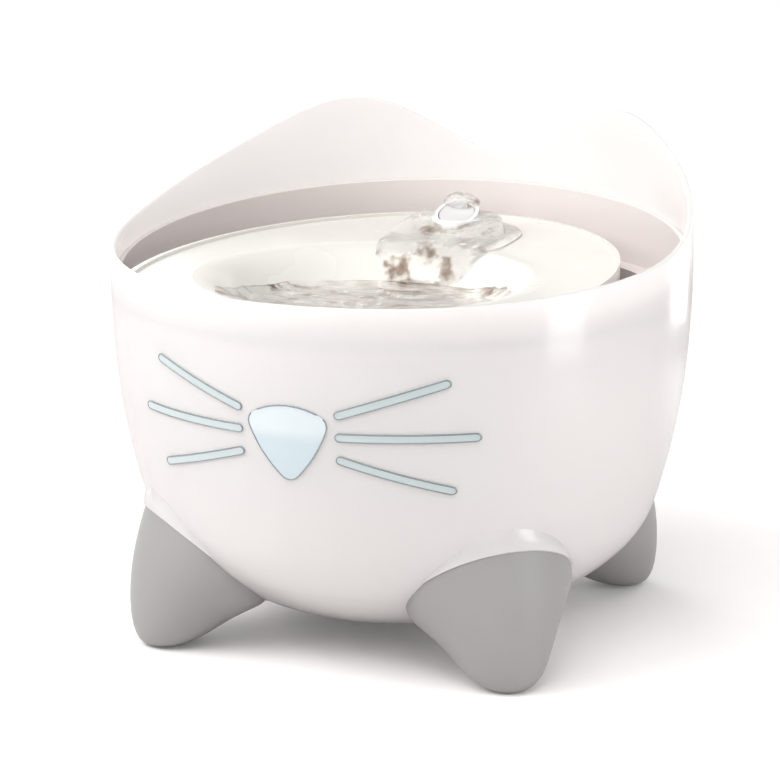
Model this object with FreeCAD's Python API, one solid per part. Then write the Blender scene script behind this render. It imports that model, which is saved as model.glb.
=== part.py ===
import FreeCAD
import Part
import math
import os

# Pet water fountain with a cat-face bowl.
# Millimetres, +Z up, the bowl's axis on X = Y = 0, the face towards -Y, the floor at Z = 0.

V = FreeCAD.Vector
UP = V(0, 0, 1)

# Form of the bowl: a flat bottom, then four arcs, each tangent to the one before.
# (radius, height) where the flat and each arc end, from the bottom to the ear tips
BOWL_BOTTOM = 7.0
BOWL_FLAT_RADIUS = 21.4
BOWL_STATIONS = [(99.2, 36.9), (112.4, 57.3), (125.4, 123.2), (124.2, 217.0)]
SHELL_WALL = 2.6
LIP_ROUND = 0.9

# Height of the rim at each angle from the front, the same on both sides: low front, two ears, dip behind
RIM_STATIONS = [
    (0, 165.6), (40, 166.6), (65, 169.4), (90, 175.5), (108, 186.0), (120, 195.5), (133, 207.6),
    (149, 216.1), (163, 206.3), (172, 195.5), (180, 190.2),
]

# Water tank, nested in the shell
TANK_CLEARANCE = 0.3
TANK_WALL = 2.0
TANK_GAP = 9.4
TANK_FLOOR = 30.0
TANK_STEP = 147.0
TANK_RIM = 163.9
TANK_RIM_TILT = 5.8
SEAL_HEIGHT = 3.0
SEAL_DROP = 1.6

# Drinking dish
DISH_CLEARANCE = 0.8
DISH_HALF_WIDTH = 100.0
DISH_HALF_LENGTH = 144.0
DISH_FORWARD = 31.5
DISH_WALL = 2.2
DISH_EDGE = 162.5
DISH_LIP = 1.4
DISH_SKIRT = 7.0
BASIN_RADIUS = 76.0
BASIN_FLAT_RADIUS = 38.0
BASIN_FLOOR = 143.0
BASIN_FORWARD = 36.0
LUG_LENGTH = 9.0
LUG_THICKNESS = 3.0
LUG_ANGLES = (-30, 30, 172, 188)

# Water ramp on the dish and the nozzle in it
RAMP_BACK = 45.0
RAMP_HALF_WIDTH = 27.0
RAMP_HALF_LENGTH = 44.0
# Side view of the ramp's top, from its front end to its back: (distance behind the axis, height)
RAMP_CREST = [(-2.0, 143.4), (22.0, 150.2), (48.0, 160.6), (66.0, 165.8), (78.0, 166.6), (92.0, 164.6)]
RAMP_ROUND = 2.4
NOZZLE_BACK = 68.0
NOZZLE_RADIUS = 10.0
NOZZLE_WALL = 1.4
NOZZLE_TOP = 170.6
NOZZLE_TILT = 24.0
NOZZLE_BOTTOM = 143.0
NOZZLE_COLLAR = 1.6
NOZZLE_COLLAR_HEIGHT = 2.0
NOZZLE_CLEARANCE = 0.3
NOZZLE_SEAT = 0.1

# Face windows
NOSE_HALF_WIDTH = 18.2
NOSE_CORNER_Z = 118.4
NOSE_TOP_Z = 124.3
NOSE_TIP_Z = 90.6
NOSE_SIDE_BULGE = 2.4
NOSE_CORNER_ROUND = 5.0
NOSE_FLANGE = 2.0
WHISKER_WIDTH = 3.5
WHISKER_START = 22.0
# (height at the nose end, distance from the middle at the far end, height there)
WHISKERS = [(121.6, 63.0, 135.1), (112.2, 72.8, 112.2), (102.4, 63.2, 89.5)]
WINDOW_PROUD = 0.5
WINDOW_CLEARANCE = 0.12
GUIDE_THICKNESS = 2.4
GUIDE_GAP = 0.25
GUIDE_MARGIN = 3.0
LED_HEIGHT = 2.0
LIGHT_BOARD_THICKNESS = 1.4
LIGHT_BOARD_HALF_WIDTH = 34.0
LIGHT_BOARD_LOW = 96.0
LIGHT_BOARD_HIGH = 122.0
LED_SIZE = 3.5
LED_PLACES = [(-27, 108), (-7, 112), (7, 112), (27, 108), (0, 102)]

# Feet: sections down the horn, each with its outer point, inner point and half width
FOOT_SECTIONS = [
    (120.0, 0.6, 107.0, 0.6, 6.5),
    (124.6, 6.0, 97.5, 2.6, 14.5),
    (126.2, 20.0, 87.5, 7.2, 21.0),
    (123.8, 38.0, 77.5, 12.2, 29.0),
    (116.6, 61.0, 68.6, 16.6, 36.5),
]
# The shell's own swelling above each foot, in the same terms
SWELL_SECTIONS = [
    (117.5, 60.6, 68.0, 16.0, 37.4),
    (117.2, 66.0, 66.0, 22.0, 36.0),
    (112.0, 75.0, 60.0, 32.0, 32.0),
]
FOOT_ANGLES = {
    "foot_front_left": -45,
    "foot_front_right": 45,
    "foot_rear_right": 135,
    "foot_rear_left": -135,
}
FOOT_SEAT = 0.1
PAD_RADIUS = 4.6
PAD_THICKNESS = 2.4
PAD_REACH = 113.5
FOOT_SCREW_REACH = 96.5
FOOT_SCREW_Z = 34.6
FOOT_SCREW_TILT = 43.0
FOOT_SCREW_LENGTH = 16.0
FOOT_SCREW_SPOT = 0.4

# Screws
SCREW_RADIUS = 1.5
SCREW_HEAD_RADIUS = 3.0
SCREW_HEAD_HEIGHT = 2.0
SCREW_HOLE_PLAY = 0.25

# Base cover under the bowl
COVER_RADIUS = 52.0
COVER_CLEARANCE = 0.25
COVER_LEDGE = 9.0
COVER_RISE = 2.4
COVER_GASKET = 1.0
COVER_SCREW_INSET = 5.0
COVER_SCREW_LENGTH = 9.0
COVER_BOSS_RADIUS = 4.0
VENT_COUNT = 7
VENT_WIDTH = 2.0
VENT_PITCH = 4.5
VENT_LENGTH = 22.0

# Control board on the base cover
BOARD_LENGTH = 58.0
BOARD_WIDTH = 40.0
BOARD_THICKNESS = 1.6
BOARD_Z = 17.5
STANDOFF_RADIUS = 2.6

# Power inlet at the back
INLET_Z = 60.0
INLET_FACE = 111.0
INLET_FLAT_RADIUS = 9.5
INLET_FLANGE_RADIUS = 7.5
INLET_FLANGE = 1.2
INLET_BODY_RADIUS = 5.0
INLET_DEPTH = 8.2
INLET_BORE = 2.9
INLET_PIN = 1.0

# Pump housing on the tank floor
HOUSING_HALF_WIDTH = 33.0
HOUSING_FRONT = 15.0
HOUSING_BACK = 53.0
HOUSING_TOP = 74.0
HOUSING_WALL = 2.0
HOUSING_CORNER = 9.0
HOUSING_LID = 2.0
GRILLE_COUNT = 9
GRILLE_PITCH = 5.6
GRILLE_WIDTH = 2.6
GRILLE_LOW = 37.0
GRILLE_HIGH = 66.0

# Filter cartridge, vertical, behind the grille
FILTER_HALF_WIDTH = 25.0
FILTER_THICKNESS = 10.0
FILTER_TOP = 79.0
FILTER_FRAME = 2.4
FILTER_CLEARANCE = 0.5
FILTER_TAB_WIDTH = 18.0
FILTER_TAB_HEIGHT = 7.0
FILTER_RIB_COUNT = 3
FILTER_RIB = 1.6
FILTER_RAIL = 2.0

# Pump
PUMP_HALF_WIDTH = 20.0
PUMP_FRONT = 7.0
PUMP_BACK = 38.0
PUMP_BOTTOM = 35.0
PUMP_TOP = 64.0
PUMP_ROUND = 4.0
PUMP_COVER = 5.0
PUMP_AXIS_Z = 49.0
VOLUTE_RADIUS = 12.5
VOLUTE_DEPTH = 9.0
ROTOR_BORE = 6.8
ROTOR_RADIUS = 6.2
ROTOR_LENGTH = 15.0
SHAFT_RADIUS = 1.0
SHAFT_CLEARANCE = 0.05
IMPELLER_RADIUS = 11.0
IMPELLER_HEIGHT = 6.0
IMPELLER_PLATE = 1.2
VANE_COUNT = 6
VANE_THICKNESS = 1.1
PUMP_END_PLAY = 0.4
INLET_RING = 5.0
OUTLET_BORE = 5.0
OUTLET_WALL = 1.5
OUTLET_HEIGHT = 14.0
REGULATOR_Z = 43.0
REGULATOR_RADIUS = 6.0
REGULATOR_THICKNESS = 3.0
REGULATOR_STEM = 2.5
REGULATOR_STEM_LENGTH = 5.0
CUP_RADIUS = 4.6
CUP_STEM = 1.8
CUP_SPREAD_X = 13.0
CUP_SPREAD_Y = 10.0
STRAINER_THICKNESS = 5.0
STRAINER_HALF_WIDTH = 15.0

# Riser from the pump to the nozzle
RISER_WALL = 1.4
RISER_CLEARANCE = 0.1
RISER_BEND = 60.0
RISER_TOP = 154.0
RISER_STRAIGHT = 8.0
RING_WIRE = 0.9
RING_GROOVE = 0.02

# Gland and level pins in the tank
GLAND_RADIUS = 4.0
GLAND_FLANGE = 6.0
GLAND_FLANGE_HEIGHT = 1.8
GLAND_X = -46.0
GLAND_Y = -20.0
GLAND_BORE = 1.8
PIN_RADIUS = 1.5
PIN_FORWARD = 46.0
PIN_SPREAD = 8.0
PIN_REACH = 4.0

# Where a cutter has to run past everything
FAR = 200.0
BOWL_OPEN_TOP = 230.0


def disc(low, high, radius=FAR, x=0.0, y=0.0):
    """A round slab between two heights."""
    return Part.makeCylinder(radius, high - low, V(x, y, low))


def block(x0, x1, y0, y1, z0, z1):
    return Part.makeBox(x1 - x0, y1 - y0, z1 - z0, V(x0, y0, z0))


def rounded_block(x0, x1, y0, y1, z0, z1, corner):
    """A block whose upright corners are round."""
    solid = block(x0, x1, y0, y1, z0, z1)
    upright = [e for e in solid.Edges if abs(e.tangentAt(e.FirstParameter).z) > 0.9]
    return solid.makeFillet(corner, upright)


def rod_y(radius, y0, y1, x, z):
    return Part.makeCylinder(radius, y1 - y0, V(x, y0, z), V(0, 1, 0))


def spin(edges):
    """Turns a closed outline in the XZ plane about the Z axis."""
    face = Part.Face(Part.Wire(edges))
    return face.revolve(V(0, 0, 0), UP, 360)


def turn(shape, degrees, x=0.0, y=0.0):
    copy = shape.copy()
    copy.rotate(V(x, y, 0), UP, degrees)
    return copy


def join(shapes):
    return shapes[0].multiFuse(shapes[1:]).removeSplitter()


def bowl_arcs():
    """The bowl's arcs in the XZ plane: for each its start, its centre and its end."""
    arcs = []
    start = V(BOWL_FLAT_RADIUS, 0, BOWL_BOTTOM)
    inward = UP
    for radius, z in BOWL_STATIONS:
        end = V(radius, 0, z)
        chord = end - start
        centre = start + inward * (chord.dot(chord) / (2 * chord.dot(inward)))
        arcs.append((start, centre, end))
        start = end
        inward = centre - end
        inward.normalize()
    return arcs


BOWL_ARCS = bowl_arcs()


def toward(point, centre, distance):
    way = centre - point
    way.normalize()
    return point + way * distance


def bowl_solid(inset):
    """The space inside the bowl's outside moved inwards by inset."""
    floor = BOWL_BOTTOM + inset
    edges = [Part.makeLine(V(0, 0, floor), V(BOWL_FLAT_RADIUS, 0, floor))]
    for start, centre, end in BOWL_ARCS:
        a = toward(start, centre, inset)
        b = toward(end, centre, inset)
        out = (start + end) * 0.5 - centre
        out.normalize()
        middle = centre + out * centre.distanceToPoint(a)
        edges.append(Part.Arc(a, middle, b).toShape())
        last = b
    corner = V(last.x, 0, BOWL_OPEN_TOP)
    axis_top = V(0, 0, BOWL_OPEN_TOP)
    edges += [
        Part.makeLine(last, corner),
        Part.makeLine(corner, axis_top),
        Part.makeLine(axis_top, V(0, 0, floor)),
    ]
    return spin(edges)


def bowl_radius(z, inset=0.0):
    """Radius at height z of the bowl's outside moved inwards by inset."""
    for start, centre, end in BOWL_ARCS:
        if toward(start, centre, inset).z <= z <= toward(end, centre, inset).z:
            reach = centre.distanceToPoint(start) - inset
            return centre.x + math.sqrt(reach * reach - (z - centre.z) ** 2)
    raise ValueError("the bowl has no wall at that height")


def band(outer, inner):
    return bowl_solid(outer).cut(bowl_solid(inner))


def place_foot(shape, angle):
    """Turns what is modelled along +X to an angle counted from the front."""
    return turn(shape, angle - 90)


def ear_cutter():
    """A ring with a wavy underside that follows the rim's height."""
    stations = RIM_STATIONS + [(360 - a, z) for a, z in RIM_STATIONS[-2:0:-1]]
    curves = []
    for radius in (BASIN_RADIUS, FAR):
        points = []
        for angle, z in stations:
            a = math.radians(angle)
            points.append(V(radius * math.sin(a), -radius * math.cos(a), z))
        curve = Part.BSplineCurve()
        curve.interpolate(Points=points, PeriodicFlag=True)
        curves.append(curve.toShape())
    wavy = Part.makeRuledSurface(curves[0], curves[1])
    return wavy.extrude(V(0, 0, FAR))


def foot_section(outer_r, outer_z, inner_r, inner_z, half_width):
    """An oval through two points of the foot's middle plane."""
    middle = V((outer_r + inner_r) / 2, 0, (outer_z + inner_z) / 2)
    half = V((outer_r - inner_r) / 2, 0, (outer_z - inner_z) / 2)
    away = half.cross(V(0, 1, 0))
    away.normalize()
    frame = FreeCAD.Matrix(
        half.x, 0, away.x, middle.x,
        0, half_width, 0, 0,
        half.z, 0, away.z, middle.z,
        0, 0, 0, 1,
    )
    return Part.Wire(Part.makeCircle(1.0).transformGeometry(frame).Edges)


def horn(sections):
    return Part.makeLoft([foot_section(*s) for s in sections], True, False)


def foot_screw_line():
    """Where the foot's screw enters the shell's outside, and its way into the foot."""
    a = math.radians(FOOT_SCREW_TILT)
    return V(FOOT_SCREW_REACH, 0, FOOT_SCREW_Z), V(math.cos(a), 0, -math.sin(a))


def foot():
    solid = horn(FOOT_SECTIONS).cut(bowl_solid(-FOOT_SEAT))
    solid = max(solid.Solids, key=lambda s: s.Volume)
    solid = solid.cut(disc(0, PAD_THICKNESS, PAD_RADIUS, PAD_REACH))
    start, way = foot_screw_line()
    return solid.cut(Part.makeCylinder(SCREW_RADIUS, FOOT_SCREW_LENGTH, start, way))


def foot_screw():
    start, way = foot_screw_line()
    seat = start - way * (SHELL_WALL - FOOT_SCREW_SPOT)
    head = Part.makeCylinder(SCREW_HEAD_RADIUS, SCREW_HEAD_HEIGHT, seat - way * SCREW_HEAD_HEIGHT, way)
    return head.fuse(Part.makeCylinder(SCREW_RADIUS, FOOT_SCREW_LENGTH, seat, way))


def nose_prism(grow, y_near, y_far):
    """The nose's rounded triangle, grown all round, as a bar along Y."""
    corner = V(NOSE_HALF_WIDTH + grow, y_far, NOSE_CORNER_Z + grow)
    other = V(-corner.x, y_far, corner.z)
    top = V(0, y_far, NOSE_TOP_Z + grow)
    tip = V(0, y_far, NOSE_TIP_Z - grow)
    side = (corner + tip) * 0.5
    out = V(corner.z - tip.z, 0, -corner.x)
    out.normalize()
    bulge = side + out * NOSE_SIDE_BULGE
    mirrored = V(-bulge.x, y_far, bulge.z)
    wire = Part.Wire([
        Part.Arc(other, top, corner).toShape(),
        Part.Arc(corner, bulge, tip).toShape(),
        Part.Arc(tip, mirrored, other).toShape(),
    ])
    bar = Part.Face(wire).extrude(V(0, y_near - y_far, 0))
    along = [e for e in bar.Edges if abs(e.tangentAt(e.FirstParameter).y) > 0.9]
    return bar.makeFillet(NOSE_CORNER_ROUND + grow, along)


def whisker_prism(x0, z0, x1, z1, width, y_near, y_far):
    """A bar with round ends, from one place of the face to another, along Y."""
    a = V(x0, y_far, z0)
    b = V(x1, y_far, z1)
    way = b - a
    way.normalize()
    side = V(-way.z, 0, way.x) * (width / 2)
    cap = way * (width / 2)
    wire = Part.Wire([
        Part.makeLine(a + side, b + side),
        Part.Arc(b + side, b + cap, b - side).toShape(),
        Part.makeLine(b - side, a - side),
        Part.Arc(a - side, a - cap, a + side).toShape(),
    ])
    return Part.Face(wire).extrude(V(0, y_near - y_far, 0))


FACE_NEAR = -90.0
FACE_FAR = -140.0


def whiskers(side, width):
    return [
        whisker_prism(side * WHISKER_START, z0, side * x1, z1, width, FACE_NEAR, FACE_FAR)
        for z0, x1, z1 in WHISKERS
    ]


def whisker_guide(side):
    """Three whiskers on one curved plate that lies behind the shell."""
    through = band(-WINDOW_PROUD, SHELL_WALL + GUIDE_GAP + GUIDE_THICKNESS)
    bars = [bar.common(through) for bar in whiskers(side, WHISKER_WIDTH)]
    reach = max(x1 for z0, x1, z1 in WHISKERS) + GUIDE_MARGIN
    low = min(z1 for z0, x1, z1 in WHISKERS) - GUIDE_MARGIN
    high = max(z1 for z0, x1, z1 in WHISKERS) + GUIDE_MARGIN
    near = WHISKER_START
    ends = sorted((side * near, side * reach))
    window = block(ends[0], ends[1], FACE_FAR, FACE_NEAR, low, high)
    behind = band(SHELL_WALL + GUIDE_GAP, SHELL_WALL + GUIDE_GAP + GUIDE_THICKNESS)
    plate = behind.common(window)
    return join([plate] + bars)


def nose_lens():
    through = band(-WINDOW_PROUD, SHELL_WALL + GUIDE_GAP + GUIDE_THICKNESS)
    behind = band(SHELL_WALL + GUIDE_GAP, SHELL_WALL + GUIDE_GAP + GUIDE_THICKNESS)
    front = nose_prism(0, FACE_NEAR, FACE_FAR).common(through)
    flange = nose_prism(NOSE_FLANGE, FACE_NEAR, FACE_FAR).common(behind)
    return join([front, flange])


def light_board():
    inset = SHELL_WALL + 2 * GUIDE_GAP + GUIDE_THICKNESS + LED_HEIGHT
    window = block(-LIGHT_BOARD_HALF_WIDTH, LIGHT_BOARD_HALF_WIDTH, FACE_FAR, FACE_NEAR,
                   LIGHT_BOARD_LOW, LIGHT_BOARD_HIGH)
    return band(inset, inset + LIGHT_BOARD_THICKNESS).common(window)


def face_leds():
    inset = SHELL_WALL + 2 * GUIDE_GAP + GUIDE_THICKNESS
    layer = band(inset, inset + LED_HEIGHT)
    half = LED_SIZE / 2
    chips = [
        layer.common(block(x - half, x + half, FACE_FAR, FACE_NEAR, z - half, z + half))
        for x, z in LED_PLACES
    ]
    return Part.makeCompound(chips)


def cover_screw_places():
    reach = COVER_RADIUS - COVER_SCREW_INSET
    return [(reach * math.cos(math.radians(a)), reach * math.sin(math.radians(a)))
            for a in (45, 135, 225, 315)]


def cover_seat_z():
    """Height of the ledge's underside, where the cover's gasket presses."""
    return BOWL_BOTTOM + COVER_RISE + SHELL_WALL + COVER_GASKET


def bowl_shell():
    shell = band(0, SHELL_WALL)
    swells = horn(SWELL_SECTIONS).cut(bowl_solid(SHELL_WALL)).cut(horn(FOOT_SECTIONS))
    swells = max(swells.Solids, key=lambda s: s.Volume)
    shell = shell.fuse([place_foot(swells, a) for a in FOOT_ANGLES.values()])
    seat = cover_seat_z()
    ledge = disc(seat, seat + SHELL_WALL, COVER_RADIUS + COVER_LEDGE)
    ledge = ledge.cut(disc(0, FAR, COVER_RADIUS - COVER_LEDGE)).common(bowl_solid(SHELL_WALL / 2))
    bosses = [disc(seat, seat + COVER_SCREW_LENGTH, COVER_BOSS_RADIUS, x, y)
              for x, y in cover_screw_places()]
    pad = rod_y(INLET_FLAT_RADIUS + SHELL_WALL, INLET_FACE - SHELL_WALL, INLET_FACE + SHELL_WALL, 0, INLET_Z)
    shell = shell.fuse([ledge, pad.common(bowl_solid(SHELL_WALL / 2))] + bosses)
    shell = shell.cut(disc(0, seat, COVER_RADIUS))
    holes = [disc(0, seat + COVER_SCREW_LENGTH, SCREW_RADIUS, x, y) for x, y in cover_screw_places()]
    holes.append(rod_y(INLET_BODY_RADIUS + WINDOW_CLEARANCE, 0, FAR, 0, INLET_Z))
    holes.append(rod_y(INLET_FLAT_RADIUS, INLET_FACE, FAR, 0, INLET_Z))
    holes.append(rod_y(INLET_FLANGE_RADIUS + WINDOW_CLEARANCE, INLET_FACE - INLET_FLANGE, FAR, 0, INLET_Z))
    start, way = foot_screw_line()
    hole = Part.makeCylinder(SCREW_RADIUS + SCREW_HOLE_PLAY, 3 * SHELL_WALL, start - way * 2 * SHELL_WALL,
                             way)
    seat = start - way * (SHELL_WALL - FOOT_SCREW_SPOT)
    spot = Part.makeCylinder(SCREW_HEAD_RADIUS + SCREW_HOLE_PLAY, SHELL_WALL, seat, way * -1)
    holes += [place_foot(hole.fuse(spot), a) for a in FOOT_ANGLES.values()]
    grown = WHISKER_WIDTH + 2 * WINDOW_CLEARANCE
    holes += whiskers(-1, grown) + whiskers(1, grown)
    holes.append(nose_prism(WINDOW_CLEARANCE, FACE_NEAR, FACE_FAR))
    shell = shell.cut(holes).cut(ear_cutter())
    rim = [e for e in shell.Edges if e.BoundBox.ZMax > RIM_STATIONS[-1][1] and e.BoundBox.XLength > FAR]
    return shell.makeFillet(LIP_ROUND, rim)


def tank_space(inset_low, inset_high, step, floor):
    """The tank's outer or inner space: a narrow lower part, a flat floor and a wide collar."""
    lower = bowl_solid(inset_low).common(disc(floor, step))
    collar = bowl_solid(inset_high).common(disc(step, FAR))
    return lower.fuse(collar)


def tank_rim_cutter():
    cutter = disc(TANK_RIM, 2 * FAR)
    cutter.rotate(V(0, 0, TANK_RIM), V(1, 0, 0), TANK_RIM_TILT)
    return cutter


def tank_outer_low():
    return SHELL_WALL + TANK_GAP


def tank_outer_high():
    return SHELL_WALL + TANK_CLEARANCE


def tank_inner_radius(z):
    """Radius of the tank's inner wall in its wide collar."""
    return bowl_radius(z, tank_outer_high() + TANK_WALL)


def seal_top():
    return TANK_STEP + SEAL_DROP + SEAL_HEIGHT


def tank():
    outside = tank_space(tank_outer_low(), tank_outer_high(), TANK_STEP - TANK_WALL,
                         TANK_FLOOR - TANK_WALL)
    inside = tank_space(tank_outer_low() + TANK_WALL, tank_outer_high() + TANK_WALL, TANK_STEP,
                        TANK_FLOOR)
    solid = outside.cut(inside).cut(tank_rim_cutter())
    groove = band(tank_outer_high() - TANK_CLEARANCE, tank_outer_high() + TANK_WALL / 2)
    solid = solid.cut(groove.common(disc(seal_top() - SEAL_HEIGHT, seal_top())))
    holes = [disc(0, FAR, GLAND_RADIUS, GLAND_X, GLAND_Y)]
    holes += [level_pin(x) for x in (-PIN_SPREAD, PIN_SPREAD)]
    return solid.cut(holes)


def tank_seal():
    ring = band(SHELL_WALL, tank_outer_high() + TANK_WALL / 2)
    return ring.common(disc(seal_top() - SEAL_HEIGHT, seal_top()))


def level_pin(x):
    """A steel pin through the tank's floor that senses the water."""
    return disc(TANK_FLOOR - TANK_WALL - PIN_REACH, TANK_FLOOR + PIN_REACH, PIN_RADIUS, x, -PIN_FORWARD)


def tank_gland():
    flange = disc(TANK_FLOOR, TANK_FLOOR + GLAND_FLANGE_HEIGHT, GLAND_FLANGE, GLAND_X, GLAND_Y)
    stem = disc(TANK_FLOOR - TANK_WALL - GLAND_FLANGE_HEIGHT, TANK_FLOOR + GLAND_FLANGE_HEIGHT * 3,
                GLAND_RADIUS, GLAND_X, GLAND_Y)
    bore = disc(0, FAR, GLAND_BORE, GLAND_X, GLAND_Y)
    return flange.fuse(stem).cut(bore).removeSplitter()


def ellipse_prism(half_width, half_length, y, low, high):
    oval = Part.Ellipse(V(0, y + half_length, low), V(half_width, y, low), V(0, y, low))
    return Part.Face(Part.Wire(oval.toShape())).extrude(V(0, 0, high - low))


def dish_plan(shrink, low, high):
    """The dish seen from above: an oval set forward, cut by the round tank."""
    oval = ellipse_prism(DISH_HALF_WIDTH - shrink, DISH_HALF_LENGTH - shrink, -DISH_FORWARD, low, high)
    radius = tank_inner_radius(DISH_EDGE) - DISH_CLEARANCE - shrink
    return oval.common(disc(low, high, radius))


def basin(drop):
    """The basin's space: a flat floor and a soft S up to the dish's deck."""
    floor = BASIN_FLOOR - drop
    deck = DISH_EDGE - DISH_LIP - drop
    start = V(BASIN_FLAT_RADIUS, 0, floor)
    end = V(BASIN_RADIUS, 0, deck)
    wall = Part.BSplineCurve()
    wall.interpolate(Points=[start, end], InitialTangent=V(1, 0, 0.02), FinalTangent=V(1, 0, 0.02))
    space = spin([
        Part.makeLine(V(0, 0, floor), start),
        wall.toShape(),
        Part.makeLine(end, V(BASIN_RADIUS, 0, DISH_EDGE)),
        Part.makeLine(V(BASIN_RADIUS, 0, DISH_EDGE), V(0, 0, DISH_EDGE)),
        Part.makeLine(V(0, 0, DISH_EDGE), V(0, 0, floor)),
    ])
    space.translate(V(0, -BASIN_FORWARD, 0))
    return space


def ramp_curve(drop):
    """The crest's side view, lowered by drop."""
    curve = Part.BSplineCurve()
    curve.interpolate([V(-FAR / 2, y, z - drop) for y, z in RAMP_CREST])
    return curve


def ramp_height(y):
    """Height of the ramp's crest at a distance behind the axis."""
    curve = ramp_curve(0)
    u = curve.parameter(V(-FAR / 2, y, RAMP_CREST[3][1]))
    return curve.value(u).z


def ramp_space(shrink):
    """The ramp's oval hump under its falling crest."""
    curve = ramp_curve(shrink)
    front = curve.StartPoint
    back = curve.EndPoint
    low = BASIN_FLOOR - DISH_WALL
    side = Part.Wire([
        curve.toShape(),
        Part.makeLine(back, V(back.x, back.y, low)),
        Part.makeLine(V(back.x, back.y, low), V(front.x, front.y, low)),
        Part.makeLine(V(front.x, front.y, low), front),
    ])
    under = Part.Face(side).extrude(V(FAR, 0, 0))
    oval = ellipse_prism(RAMP_HALF_WIDTH - shrink, RAMP_HALF_LENGTH - shrink, RAMP_BACK, low, FAR)
    return oval.common(under)


def rounded_ramp():
    """The hump with its upper edge rounded over."""
    hump = ramp_space(0)
    top = [f for f in hump.Faces if f.normalAt(0.5, 0.5).z > 0.5]
    return hump.makeFillet(RAMP_ROUND, top[0].Edges)


def dish_lug(angle):
    """A rib under the dish that stands on the tank's step."""
    reach = tank_inner_radius(DISH_EDGE) - DISH_CLEARANCE - DISH_WALL / 2
    rib = block(reach - LUG_LENGTH, reach, -LUG_THICKNESS / 2, LUG_THICKNESS / 2, TANK_STEP,
                DISH_EDGE - DISH_LIP - DISH_WALL / 2)
    return place_foot(rib, angle)


def drinking_dish():
    deck = DISH_EDGE - DISH_LIP
    plate = dish_plan(0, deck - DISH_WALL, deck)
    rim = dish_plan(0, DISH_EDGE - DISH_SKIRT, DISH_EDGE).cut(dish_plan(DISH_WALL, 0, FAR))
    under = basin(DISH_WALL).common(disc(0, deck))
    under = under.common(dish_plan(0, 0, FAR))
    body = join([plate, rim, under]).cut(basin(0).cut(disc(deck, FAR)))
    body = body.multiFuse([rounded_ramp()] + [dish_lug(a) for a in LUG_ANGLES])
    hollow = ramp_space(DISH_WALL).fuse(
        ellipse_prism(RAMP_HALF_WIDTH - DISH_WALL, RAMP_HALF_LENGTH - DISH_WALL, RAMP_BACK, 0,
                      BASIN_FLOOR - DISH_WALL))
    bore = disc(0, FAR, NOZZLE_RADIUS + NOZZLE_CLEARANCE, 0, NOZZLE_BACK)
    return body.cut(hollow).cut(bore)


def riser_radius():
    return OUTLET_BORE + OUTLET_WALL + RISER_CLEARANCE + RISER_WALL


def spout_nozzle():
    """The tube that the water wells out of, its mouth leaning to the front."""
    tube = disc(NOZZLE_BOTTOM, FAR, NOZZLE_RADIUS, 0, NOZZLE_BACK)
    mouth = disc(NOZZLE_TOP, 2 * FAR, FAR, 0, NOZZLE_BACK)
    mouth.rotate(V(0, NOZZLE_BACK, NOZZLE_TOP), V(1, 0, 0), NOZZLE_TILT)
    tube = tube.cut(mouth)
    deck = ramp_height(NOZZLE_BACK)
    collar = disc(deck - NOZZLE_COLLAR_HEIGHT, deck + NOZZLE_COLLAR_HEIGHT, NOZZLE_RADIUS + NOZZLE_COLLAR,
                  0, NOZZLE_BACK)
    collar = collar.cut(ramp_space(-NOZZLE_SEAT))
    bore = disc(0, FAR, NOZZLE_RADIUS - NOZZLE_WALL, 0, NOZZLE_BACK)
    return tube.fuse(collar).cut(bore).removeSplitter().cut(nozzle_ring(RING_GROOVE))


def nozzle_ring(play=0.0):
    """The sealing ring in the nozzle, round the riser's end; with play, the space of its groove."""
    return Part.makeTorus(riser_radius() + RISER_CLEARANCE + RING_WIRE / 2, RING_WIRE / 2 + play,
                          V(0, NOZZLE_BACK, RISER_TOP - RISER_STRAIGHT / 2))


def base_cover():
    seat = cover_seat_z() - COVER_GASKET
    skin = band(0, SHELL_WALL).common(disc(0, FAR, COVER_RADIUS - COVER_CLEARANCE))
    edge = disc(seat - SHELL_WALL, seat, COVER_RADIUS - COVER_CLEARANCE)
    edge = edge.cut(disc(0, FAR, COVER_RADIUS - COVER_LEDGE)).common(bowl_solid(0))
    holes = []
    for i in range(VENT_COUNT):
        x = (i - (VENT_COUNT - 1) / 2) * VENT_PITCH
        holes.append(block(x - VENT_WIDTH / 2, x + VENT_WIDTH / 2, -VENT_LENGTH / 2, VENT_LENGTH / 2, 0, FAR))
    posts = [disc(BOWL_BOTTOM + SHELL_WALL / 2, BOARD_Z, STANDOFF_RADIUS, x, y)
             for x, y in standoff_places()]
    cover = join([skin, edge] + posts).common(disc(0, FAR, COVER_RADIUS - COVER_CLEARANCE))
    holes.append(disc(seat, FAR).cut(disc(0, FAR, COVER_RADIUS - COVER_LEDGE)))
    for x, y in cover_screw_places():
        holes.append(disc(0, seat + 1, SCREW_RADIUS + SCREW_HOLE_PLAY, x, y))
        holes.append(disc(0, cover_head_top(), SCREW_HEAD_RADIUS + SCREW_HOLE_PLAY, x, y))
    return cover.cut(holes)


def cover_head_top():
    """The seat of the cover screws' heads, sunk in the cover's underside."""
    return BOWL_BOTTOM + COVER_RISE + SCREW_HEAD_HEIGHT / 2


def cover_screws():
    screws = []
    for x, y in cover_screw_places():
        top = cover_head_top()
        head = disc(top - SCREW_HEAD_HEIGHT, top, SCREW_HEAD_RADIUS, x, y)
        screws.append(head.fuse(disc(top, top + COVER_SCREW_LENGTH, SCREW_RADIUS, x, y)))
    return Part.makeCompound(screws)


def cover_gasket():
    seat = cover_seat_z()
    ring = disc(seat - COVER_GASKET, seat, COVER_RADIUS - COVER_CLEARANCE)
    ring = ring.cut(disc(0, FAR, COVER_RADIUS - COVER_LEDGE))
    holes = [disc(0, FAR, SCREW_RADIUS + SCREW_HOLE_PLAY, x, y) for x, y in cover_screw_places()]
    return ring.cut(holes)


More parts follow.
